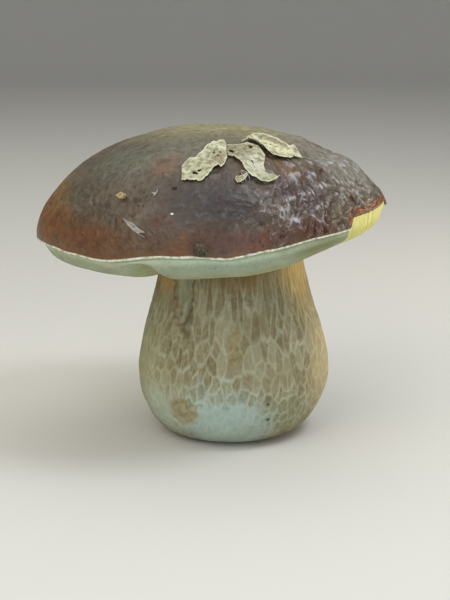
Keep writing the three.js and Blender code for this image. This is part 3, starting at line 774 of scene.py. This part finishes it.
def makeNettedStem():
    outline = alongCurve(stemForm["outline"], stemForm["rows"])
    profile = [(0, 0, 0), (10, 0, 0)]
    profile += [(r, h, 1) for r, h in outline.tolist()] + [(0, float(outline[-1][1]), 0)]
    bm = spunSheet(profile, stemForm["columns"])
    wall = marksOf(bm) > 0.5
    places = placesOf(bm)
    radius = np.hypot(places[:, 0], places[:, 1])
    angle = np.arctan2(places[:, 1], places[:, 0])
    height = places[:, 2]
    border, owner = netBorders(angle, height)
    ragged = 0.35 * roughness(places, 2.4, 14)
    shares = {name: markShare(angle, height, mark, ragged) for name, mark in stemMarks.items()}
    strength = 0.75 + 0.5 * roughness(places, 9, 23)
    strength = strength * smoothShare(height, 1.5, 9) * (1 - smoothShare(height, 86, 93))
    strength = strength * (1 - 0.35 * shares["foot"]) * (1 - shares["scar"]) * (1 - shares["tornPatch"])
    ridge = (1 - smoothShare(border, 0.05, netLook["halfWidth"])) * strength
    lift = netLook["ridge"] * ridge + 0.25 * roughness(places, 8, 6)
    lift = lift + 0.1 * roughness(places * (1, 1, 0.4), 1.2, 5)
    for name, mark in stemMarks.items():
        lift = lift - mark.get("depth", 0) * shares[name]
    lift = lift * smoothShare(height, 0.0, 2.0)
    moved = onStem(angle, radius, height, lift)
    movePoints(bm, np.where(wall[:, None], moved, places))
    piece = finishPiece(bm, "nettedStem", stemFlesh())
    draw = random.Random(netLook["seed"] + 1)
    tones = np.array([draw.random() for cell in range(int(owner.max()) + 1)])
    paint(piece, "border", border)
    paint(piece, "netStrength", np.clip(strength, 0, 1.2))
    paint(piece, "cellTone", tones[owner])
    paint(piece, "footShare", shares["foot"])
    paint(piece, "scarShare", shares["scar"])
    paint(piece, "tanShare", np.maximum(shares["tornPatch"], shares["bigCell"]))
    dark = np.maximum.reduce([shares[name] for name in ("upperHole", "lowerHole", "lowNick")])
    paint(piece, "dark", np.maximum(dark, 0.45 * shares["crack"]))
    paint(piece, "scarEdge", np.clip(1 - np.abs(shares["scar"] - 0.5) * 2, 0, 1))
    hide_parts("stem")
    print("netted stem made,", len(piece.data.polygons), "faces")


floorPatches = [  # tints of the cells' floors, with painted shade and painted light in some of them
    ((-24, -12, 76), (16, 18, 24), "#cb9b40", 0.9),
    # painted shade: the front of the stem's top, under the cap, darker brown
    ((4, -28, 80), (30, 16, 26), "#7b5e28", 0.9),
    # painted warm light on the right side (next two), over the flesh's own tan and cream
    ((27, -12, 76), (16, 20, 32), "#c5a25a", 0.95),
    ((36, -8, 32), (12, 26, 38), "#b3a173", 0.8),
    ((-34, -14, 34), (14, 24, 34), "#a3a078", 0.8),
    # painted cool shade: a bluish-green cast low on the front (next two), over pale flesh
    ((-28, -22, 14), (18, 20, 18), "#b0bba6", 0.85),
    ((-6, -34, 16), (26, 14, 16), "#95a28f", 0.85),
    ((22, -28, 14), (18, 14, 14), "#80835f", 0.7),
    ((0, 30, 60), (40, 30, 50), "#85724a", 0.6),
]
ridgePatches = [  # tints of the net's ridges, with painted shade and painted light in some of them
    # painted shade: the ridges at the top, under the cap, darker brown (next two)
    ((4, -28, 78), (30, 16, 22), "#8e7238", 0.85),
    ((0, -10, 90), (44, 44, 36), "#9a8148", 0.95),
    ((-24, -12, 76), (16, 18, 24), "#bb923f", 0.9),
    # painted warm light on the right side (next two), over the ridges' own cream
    ((27, -12, 70), (18, 20, 32), "#d8c080", 0.9),
    ((38, -8, 32), (14, 26, 38), "#d8cda4", 0.8),
    ((-34, -14, 34), (14, 24, 34), "#b9ba9a", 0.7),
    # painted cool shade: a bluish-green cast low on the front (next two), over pale ridges
    ((-28, -22, 12), (16, 18, 14), "#bac9b2", 0.85),
    ((-6, -34, 18), (26, 14, 22), "#c3d5cb", 0.9),
]


def stemFlesh():  # bolete stem, firm dry flesh: a pale raised net over tan cells, whiter towards the foot, with painted shade at the top under the cap, a painted cool cast low on the front and painted warm light on the right
    made, tree, shader = newMaterial("stemFlesh")
    place = addNode(tree, "TexCoord", "Object")
    wander = wanderingPlace(tree, place, 10, 5)
    tones = [(0.0, "#7b6e4c"), (0.5, "#8a805d"), (1.0, "#9b9574")]
    floors = rampOf(tree, attributeOf(tree, "cellTone"), tones)
    floors = patchesOver(tree, wander, floors, floorPatches)
    streaky = shareOf(tree, grainOf(tree, place, 1.1, 3, (1, 1, 6)), 0.4, 0.68, 0.0, 0.3)
    floors = mixOf(tree, streaky, floors, mixOf(tree, 0.5, floors, "#3f2d10"))
    ridges = rampOf(tree, grainOf(tree, place, 5), [(0.3, "#a3a488"), (0.7, "#bcc0a6")])
    ridges = patchesOver(tree, wander, ridges, ridgePatches)
    unsteady = addNode(tree, "Math", 0, {"operation": "MULTIPLY_ADD"},
                       {0: grainOf(tree, place, 1.4, 3), 1: -0.9, 2: attributeOf(tree, "border")})
    line = timesOf(tree, shareOf(tree, unsteady, -0.5, 0.25, 0.72, 0.0), attributeOf(tree, "netStrength"))
    wavering = wanderingPlace(tree, place, 1.5, 0.5)
    squeezed = addNode(tree, "Mapping", 0, {}, {"Vector": wavering, "Scale": (1, 1, 0.5)})
    fine = addNode(tree, "TexVoronoi", "Distance", {"feature": "DISTANCE_TO_EDGE"},
                   {"Vector": squeezed, "Scale": 1 / (2.3 * mm)})
    fineLine = timesOf(tree, shareOf(tree, fine, 0.0, 0.16, 0.28, 0.0), attributeOf(tree, "netStrength"))
    net = addNode(tree, "Math", 0, {"operation": "MAXIMUM"}, {0: line, 1: fineLine})
    base = mixOf(tree, net, floors, ridges)
    # the foot whiter, with a painted bluish cast of cool shade
    base = mixOf(tree, timesOf(tree, attributeOf(tree, "footShare"), 0.42), base, "#b2ccc6")
    base = mixOf(tree, timesOf(tree, attributeOf(tree, "scarShare"), 0.85), base,
                 rampOf(tree, grainOf(tree, place, 2, 3, (1, 1, 5)), [(0.35, "#85866a"), (0.65, "#a9aa88")]))
    base = mixOf(tree, timesOf(tree, attributeOf(tree, "scarEdge"), 0.7), base, "#6b4a1c")
    tan = rampOf(tree, grainOf(tree, place, 2.2), [(0.36, "#7d6c40"), (0.62, "#a5986b")])
    base = mixOf(tree, timesOf(tree, attributeOf(tree, "tanShare"), 0.75), base, tan)
    base = mixOf(tree, timesOf(tree, attributeOf(tree, "dark"), 0.8), base, "#43361e")
    tree.links.new(base, shader.inputs["Base Color"])
    shader.inputs["Roughness"].default_value = 0.66
    shader.inputs["IOR"].default_value = 1.4
    shader.inputs["Subsurface Weight"].default_value = 0.12
    shader.inputs["Subsurface Radius"].default_value = (1.0, 0.8, 0.5)
    shader.inputs["Subsurface Scale"].default_value = 1.5 * mm
    bumpOf(tree, shader, [(fineLine, 0.25), (grainOf(tree, place, 0.9, 3, (1, 1, 4)), 0.18)])
    return made


# Scraps of dry leaf on the cap: each row gives a place in plan and a lift at its back and at its front edge

leafScraps = {
    "leafScrapLeft": {
        "node": "leaf_scrap_left", "steps": (110, 52), "rest": 0.7, "stray": 0.05,
        "rows": (((-18, -48, 1.6), (-18, -53, 0.7)), ((-16.5, -44, 1.2), (-14.5, -54, 0.8)),
                 ((-12.5, -42, 1.2), (-10, -54.5, 1.2)), ((-9, -36.5, 2.2), (-7.5, -52, 1.6)),
                 ((-6, -35, 2.8), (-5, -49.5, 2)), ((-2.8, -34.5, 3.4), (-3, -50.5, 2.4)),
                 ((-1.8, -38.5, 2.4), (-1.4, -45, 2))),
        "holes": ((0.3, 0.62, 0.03, 0.05), (0.24, 0.74, 0.035, 0.06), (0.62, 0.36, 0.022, 0.045),
                  (0.76, 0.38, 0.022, 0.04), (0.7, 0.5, 0.02, 0.03)),
        "brown": (0.74, 0.6, 0.26, 0.4),
    },
    "leafScrapMiddle": {
        "node": "leaf_scrap_middle", "steps": (120, 52), "rest": 0.7, "stray": 0.04,
        "rows": (((-2.2, -35.5, 1.6), (-1.2, -41.8, 1.2)), ((3.2, -31.8, 1.2), (3.0, -45.3, 1.8)),
                 ((8.8, -29.8, 1.2), (5.5, -50, 2.2)), ((12.5, -37, 1), (7.6, -51.5, 2.2)),
                 ((12, -44, 0.8), (11.5, -52, 2)), ((13.8, -47.4, 0.8), (14.9, -50.8, 2.2)),
                 ((16, -47.6, 2), (17.7, -48.4, 2.6))),
        "holes": ((0.4, 0.62, 0.035, 0.03), (0.3, 0.15, 0.03, 0.05), (0.06, 0.55, 0.04, 0.12)),
        "brown": (0.12, 0.35, 0.3, 0.6),
    },
    "leafScrapRight": {
        "node": "leaf_scrap_right", "steps": (120, 52), "rest": 0.7, "stray": 0.04,
        "rows": (((6.2, -23, 1.6), (4, -28, 1.2)), ((8.9, -19.5, 2.2), (8.4, -29.5, 3.4)),
                 ((12.2, -18, 2.6), (11.7, -34, 3.4)), ((17.3, -20, 2.6), (15.5, -37, 2.6)),
                 ((21.6, -23.5, 2.2), (20.8, -35, 1.8)), ((24.2, -22.5, 2.4), (23.8, -30, 1.2)),
                 ((26, -25, 1.6), (27.3, -28, 1.2))),
        "holes": ((0.36, 0.55, 0.05, 0.02), (0.82, 0.86, 0.04, 0.1)),
        "brown": (0.45, 0.12, 0.3, 0.2),
    },
    "leafScrapSmall": {
        "node": "leaf_scrap_small", "steps": (36, 26), "rest": 0.5, "stray": 0.08,
        "rows": (((1.7, -52.2, 0.8), (1.5, -52.9, 0.8)), ((3.2, -51.6, 1), (2.6, -54.2, 1)),
                 ((4.9, -51.3, 1.6), (4.6, -53.2, 1.4)), ((5.8, -50.6, 1.8), (6.1, -51.2, 1.8))),
        "holes": ((0.75, 0.7, 0.2, 0.2),), "brown": (0.2, 0.6, 0.4, 0.6),
    },
}
leafThickness = 0.28


def rowsSheet(look):  # a grid laid over rows: its mesh, layer of first places, shares and places in plan
    longSteps, crossSteps = look["steps"]
    bm = bmesh.new()
    bmesh.ops.create_grid(bm, x_segments=longSteps, y_segments=crossSteps, size=0.5)
    first = bm.verts.layers.int.new("first")
    for index, corner in enumerate(bm.verts):
        corner[first] = index
    spots = placesOf(bm) + 0.5
    along, across = spots[:, 0], spots[:, 1]
    line = np.stack([9 * along, 0 * along, 0 * along], -1)
    start = look["stray"] * (roughness(line, 0.6, 3) + 0.5 * roughness(line, 0.2, 13))
    end = 1 + look["stray"] * (roughness(line, 0.6, 8) + 0.5 * roughness(line, 0.2, 17))
    back = throughPoints([row[0] for row in look["rows"]], along)
    front = throughPoints([row[1] for row in look["rows"]], along)
    return bm, first, along, across, blend(back, front, blend(start, end, across)[:, None])


def cutFaces(bm, first, gone):  # takes out the faces at marked points and gives which points are kept
    faces = [face for face in bm.faces if gone[face.verts[0][first]]]
    bmesh.ops.delete(bm, geom=faces, context="FACES")
    bmesh.ops.recalc_face_normals(bm, faces=bm.faces)
    bm.normal_update()
    if sum(face.normal.z for face in bm.faces) < 0:
        bmesh.ops.reverse_faces(bm, faces=bm.faces)
    return np.array([corner[first] for corner in bm.verts])


def makeLeafScrap(name, look, finish):
    bm, first, along, across, plan = rowsSheet(look)
    sag = np.sin(np.pi * across) ** 0.7 * np.sin(np.pi * np.clip(along, 0.02, 0.98)) ** 0.3
    veins = np.abs(((across - 0.5) * 3.2 + np.where(across > 0.5, -1, 1) * along * 7) % 1 - 0.5)
    midrib = np.exp(-((across - 0.5 - 0.05 * np.sin(along * 6)) / 0.025) ** 2)
    spots = np.stack([plan[:, 0], plan[:, 1], 0 * along], -1)
    crumple = 0.3 * roughness(spots, 2.6, 4) + 0.12 * roughness(spots, 0.9, 7)
    lift = blend(plan[:, 2], look["rest"], 0.85 * sag) + crumple + 0.12 * midrib
    movePoints(bm, overCap(plan[:, 0], plan[:, 1], np.maximum(lift, 0.45)))
    jagged = 0.3 * roughness(np.stack([along * 40, across * 25, 0 * along], -1), 1)
    holed = np.zeros(len(along), bool)
    for holeAlong, holeAcross, wide, tall in look["holes"]:
        holed |= np.hypot((along - holeAlong) / wide, (across - holeAcross) / tall) + jagged < 1
    kept = cutFaces(bm, first, holed)
    piece = finishPiece(bm, name, finish)
    brownAlong, brownAcross, wide, tall = look["brown"]
    brown = 1 - smoothShare(np.hypot((along - brownAlong) / wide, (across - brownAcross) / tall), 0.4, 1.1)
    paint(piece, "vein", np.maximum(midrib, 1 - smoothShare(veins, 0.03, 0.12))[kept])
    paint(piece, "brown", brown[kept])
    paint(piece, "side", (1 - smoothShare(np.minimum(across, 1 - across), 0.01, 0.07))[kept])
    thicken(piece, leafThickness)
    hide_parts(look["node"])


leafPatches = [
    ((-10, -46, 113), (9, 9, 9), "#a2a384", 0.8),
    ((9, -42, 115), (9, 9, 9), "#c3c4b0", 0.8),
    ((15, -27, 119), (14, 9, 9), "#dbd6ae", 0.8),
]


def dryLeaf():  # skeletonising dead leaf, papery: pale and matt, brown where it rots, with black spots and painted highlights along its curled edges
    made, tree, shader = newMaterial("dryLeaf")
    place = addNode(tree, "TexCoord", "Object")
    base = rampOf(tree, grainOf(tree, place, 3.4, 4), [(0.3, "#9b9a7a"), (0.5, "#b8b89a"), (0.7, "#d2d0b4")])
    base = patchesOver(tree, place, base, leafPatches)
    mottle = shareOf(tree, grainOf(tree, place, 2.0, 4), 0.46, 0.62, 0.0, 0.8)
    base = mixOf(tree, mottle, base, "#7c7352")
    rotten = rampOf(tree, grainOf(tree, place, 1.1, 4), [(0.35, "#4b4029"), (0.6, "#8d8264")])
    base = mixOf(tree, timesOf(tree, attributeOf(tree, "brown"), 0.8), base, rotten)
    base = mixOf(tree, timesOf(tree, attributeOf(tree, "vein"), 0.3), base, "#d9d7b4")
    # painted highlight along the curled long edges
    base = mixOf(tree, timesOf(tree, attributeOf(tree, "side"), 0.6), base, "#e2dfc0")
    spots = addNode(tree, "TexVoronoi", "Distance", {}, {"Vector": place, "Scale": 1 / (2.1 * mm)})
    base = mixOf(tree, shareOf(tree, spots, 0.1, 0.2, 0.85, 0.0), base, "#3c321e")
    tree.links.new(base, shader.inputs["Base Color"])
    shader.inputs["Roughness"].default_value = 0.7
    shader.inputs["IOR"].default_value = 1.45
    shader.inputs["Subsurface Weight"].default_value = 0.1
    shader.inputs["Subsurface Scale"].default_value = 0.5 * mm
    bumpOf(tree, shader, [(grainOf(tree, place, 0.7, 4), 0.15)])
    return made


# The forked husk: rows as on the leaves, and a prong that leaves it

huskLook = {
    "dryHusk": {"steps": (48, 14), "stray": 0.02, "notch": 0.35, "trough": 0.4, "rows": (
        ((-39.3, -55.4, 0.5), (-39.3, -55.5, 0.5)), ((-37.4, -57.3, 0.8), (-37.7, -57.7, 0.8)),
        ((-35.7, -58.7, 1.0), (-36.1, -59.3, 0.9)), ((-33.4, -60.7, 1.1), (-34.4, -60.55, 1.0)),
        ((-31.1, -62.3, 1.3), (-32.9, -61.4, 1.1)))},
    "huskProng": {"steps": (36, 8), "stray": 0.02, "notch": 0, "trough": 0, "rows": (
        ((-34.1, -60.74, 1.0), (-34.14, -60.82, 1.0)), ((-32.54, -61.72, 1.0), (-32.57, -61.79, 1.0)),
        ((-31.07, -62.56, 1.0), (-31.08, -62.6, 1.0)))},
}
huskThickness = 0.3


def makeHuskPart(name, look, finish):
    bm, first, along, across, plan = rowsSheet(look)
    trough = look["trough"] * np.sin(np.pi * across) * along
    movePoints(bm, overCap(plan[:, 0], plan[:, 1], np.maximum(plan[:, 2] - trough, 0.35)))
    cutFaces(bm, first, along > 1 - look["notch"] * (1 - np.abs(2 * across - 1)) + 1e-6)
    piece = finishPiece(bm, name, finish)
    thicken(piece, huskThickness)
    return piece


def thinHusk():  # wing of a seed, thin and dry: greyish, a little glossy, with fine veins along it
    made, tree, shader = newMaterial("thinHusk")
    place = addNode(tree, "TexCoord", "Object")
    base = rampOf(tree, grainOf(tree, place, 1.2, 3), [(0.3, "#77726c"), (0.6, "#a39e96"), (0.8, "#c6bfae")])
    tree.links.new(base, shader.inputs["Base Color"])
    shader.inputs["Roughness"].default_value = 0.45
    shader.inputs["IOR"].default_value = 1.45
    bumpOf(tree, shader, [(grainOf(tree, place, 0.4, 2), 0.08)])
    return made


# Crumbs and dry fibres that touch the skin

crumbs = {  # those with no node of their own have a place in plan and a lift
    "soilCrumb": {"node": "soil_crumb", "slot": "soil", "size": (5.6, 5.2, 5.2), "rounds": 5,
                  "rough": ((1.5, 0.4), (0.6, 0.14)), "finish": "crumblySoil"},
    "barkCrumb": {"node": "bark_crumb", "slot": "bark", "size": (3.6, 3.0, 2.4), "rounds": 5,
                  "rough": ((1.3, 0.5), (0.5, 0.2)), "finish": "flakyBark"},
    "brownGrain": {"at": (-20.5, -55.0, 0.4), "slot": "bark", "size": (1.8, 1.4, 1.2), "rounds": 3,
                   "rough": ((0.6, 0.2),), "finish": "darkBark"},
    "whiteGrain": {"at": (-21.2, -61.6, 0.3), "slot": "soil", "size": (1.2, 0.8, 0.8), "rounds": 3,
                   "rough": ((0.6, 0.1),), "finish": "paleQuartz"},
}
crumbFinishes = {  # humus with sand grains; outer bark torn to pale fibres; rotten bark; a grain of quartz
    "crumblySoil": ((0.36, "#2a2217"), (0.5, "#453b29"), (0.64, "#5f543d"), (0.78, "#82795c")),
    "flakyBark": ((0.34, "#6b5534"), (0.5, "#9b875f"), (0.62, "#bfad80"), (0.75, "#e8dfbd")),
    "darkBark": ((0.35, "#241a10"), (0.6, "#4a3a26")),
    "paleQuartz": ((0.3, "#dcd8d4"), (0.6, "#f2f0ee")),
}
strands = {  # thin dry fibres: places in plan with a lift, and a width
    "paleThread": {"at": ((-28.1, -55.1, 0.4), (-27.3, -54.7, 0.5), (-26.5, -53.8, 0.6)), "width": 0.55},
    "paleFork": {"at": ((-28.8, -54.0, 0.5), (-28.1, -54.3, 0.5), (-27.4, -54.7, 0.45)), "width": 0.45},
    "whiskerLeft": {"at": ((3.6, -49.4, 0.9), (4.1, -51.5, 1.1), (4.0, -53.8, 0.6)), "width": 0.35},
    "whiskerMiddle": {"at": ((3.8, -49.3, 1.0), (5.0, -51.0, 1.3), (5.4, -52.9, 0.7)), "width": 0.35},
    "whiskerRight": {"at": ((4.0, -49.3, 1.0), (5.9, -50.3, 1.4), (6.9, -51.9, 0.8)), "width": 0.35},
}
strandThickness = 0.25


def crumbFinish(name, stops):
    made, tree, shader = newMaterial(name)
    place = addNode(tree, "TexCoord", "Object")
    tree.links.new(rampOf(tree, grainOf(tree, place, 0.7, 4), stops), shader.inputs["Base Color"])
    shader.inputs["Roughness"].default_value = 0.85
    bumpOf(tree, shader, [(grainOf(tree, place, 0.35, 3), 0.15)])
    return made


def makeCrumb(name, look, finish):
    bm = bmesh.new()
    bmesh.ops.create_icosphere(bm, subdivisions=look["rounds"], radius=0.5)
    full = placesOf(bm) * look["size"]
    knobbly = sum(reach * roughness(full, grain, 3) for grain, reach in look["rough"])
    bulge = 1 + 2 * knobbly / max(look["size"])
    if "node" in look:
        low, high = (np.array(corner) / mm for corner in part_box(look["node"]))
        centre = (low + high) / 2
    else:
        centre = overCap(*look["at"])
    movePoints(bm, full * bulge[:, None] + centre)
    piece = finishPiece(bm, name, finish)
    if "node" in look:
        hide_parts(look["node"])


def makeStrand(name, look, finish):
    bm = bmesh.new()
    bmesh.ops.create_grid(bm, x_segments=24, y_segments=3, size=0.5)
    spots = placesOf(bm) + 0.5
    middle = throughPoints(look["at"], spots[:, 0])
    ahead = throughPoints(look["at"], spots[:, 0] + 0.01) - throughPoints(look["at"], spots[:, 0] - 0.01)
    ahead = ahead[:, :2] / np.linalg.norm(ahead[:, :2], axis=1)[:, None]
    taper = 0.25 + 0.75 * np.sin(np.pi * spots[:, 0])
    off = (spots[:, 1] - 0.5) * look["width"] * taper
    movePoints(bm, overCap(middle[:, 0] - ahead[:, 1] * off, middle[:, 1] + ahead[:, 0] * off, middle[:, 2]))
    piece = finishPiece(bm, name, finish)
    thicken(piece, strandThickness)


# Everything together

makeCamera()
makeLamps()
makeFloor()
makeCapSkin()
makeTubeLayer()
makeNettedStem()
leafFinish = dryLeaf()
for scrapName, scrapLook in leafScraps.items():
    makeLeafScrap(scrapName, scrapLook, leafFinish)
print("leaf scraps made")
huskFinish = thinHusk()
huskParts = [makeHuskPart(partName, partLook, huskFinish) for partName, partLook in huskLook.items()]
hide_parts("dry_husk")
finishes = {name: crumbFinish(name, stops) for name, stops in crumbFinishes.items()}
for crumbName, crumbLook in crumbs.items():
    makeCrumb(crumbName, crumbLook, finishes[crumbLook["finish"]])
for strandName, strandLook in strands.items():
    makeStrand(strandName, strandLook, huskFinish)
print("husk, crumbs and fibres made")
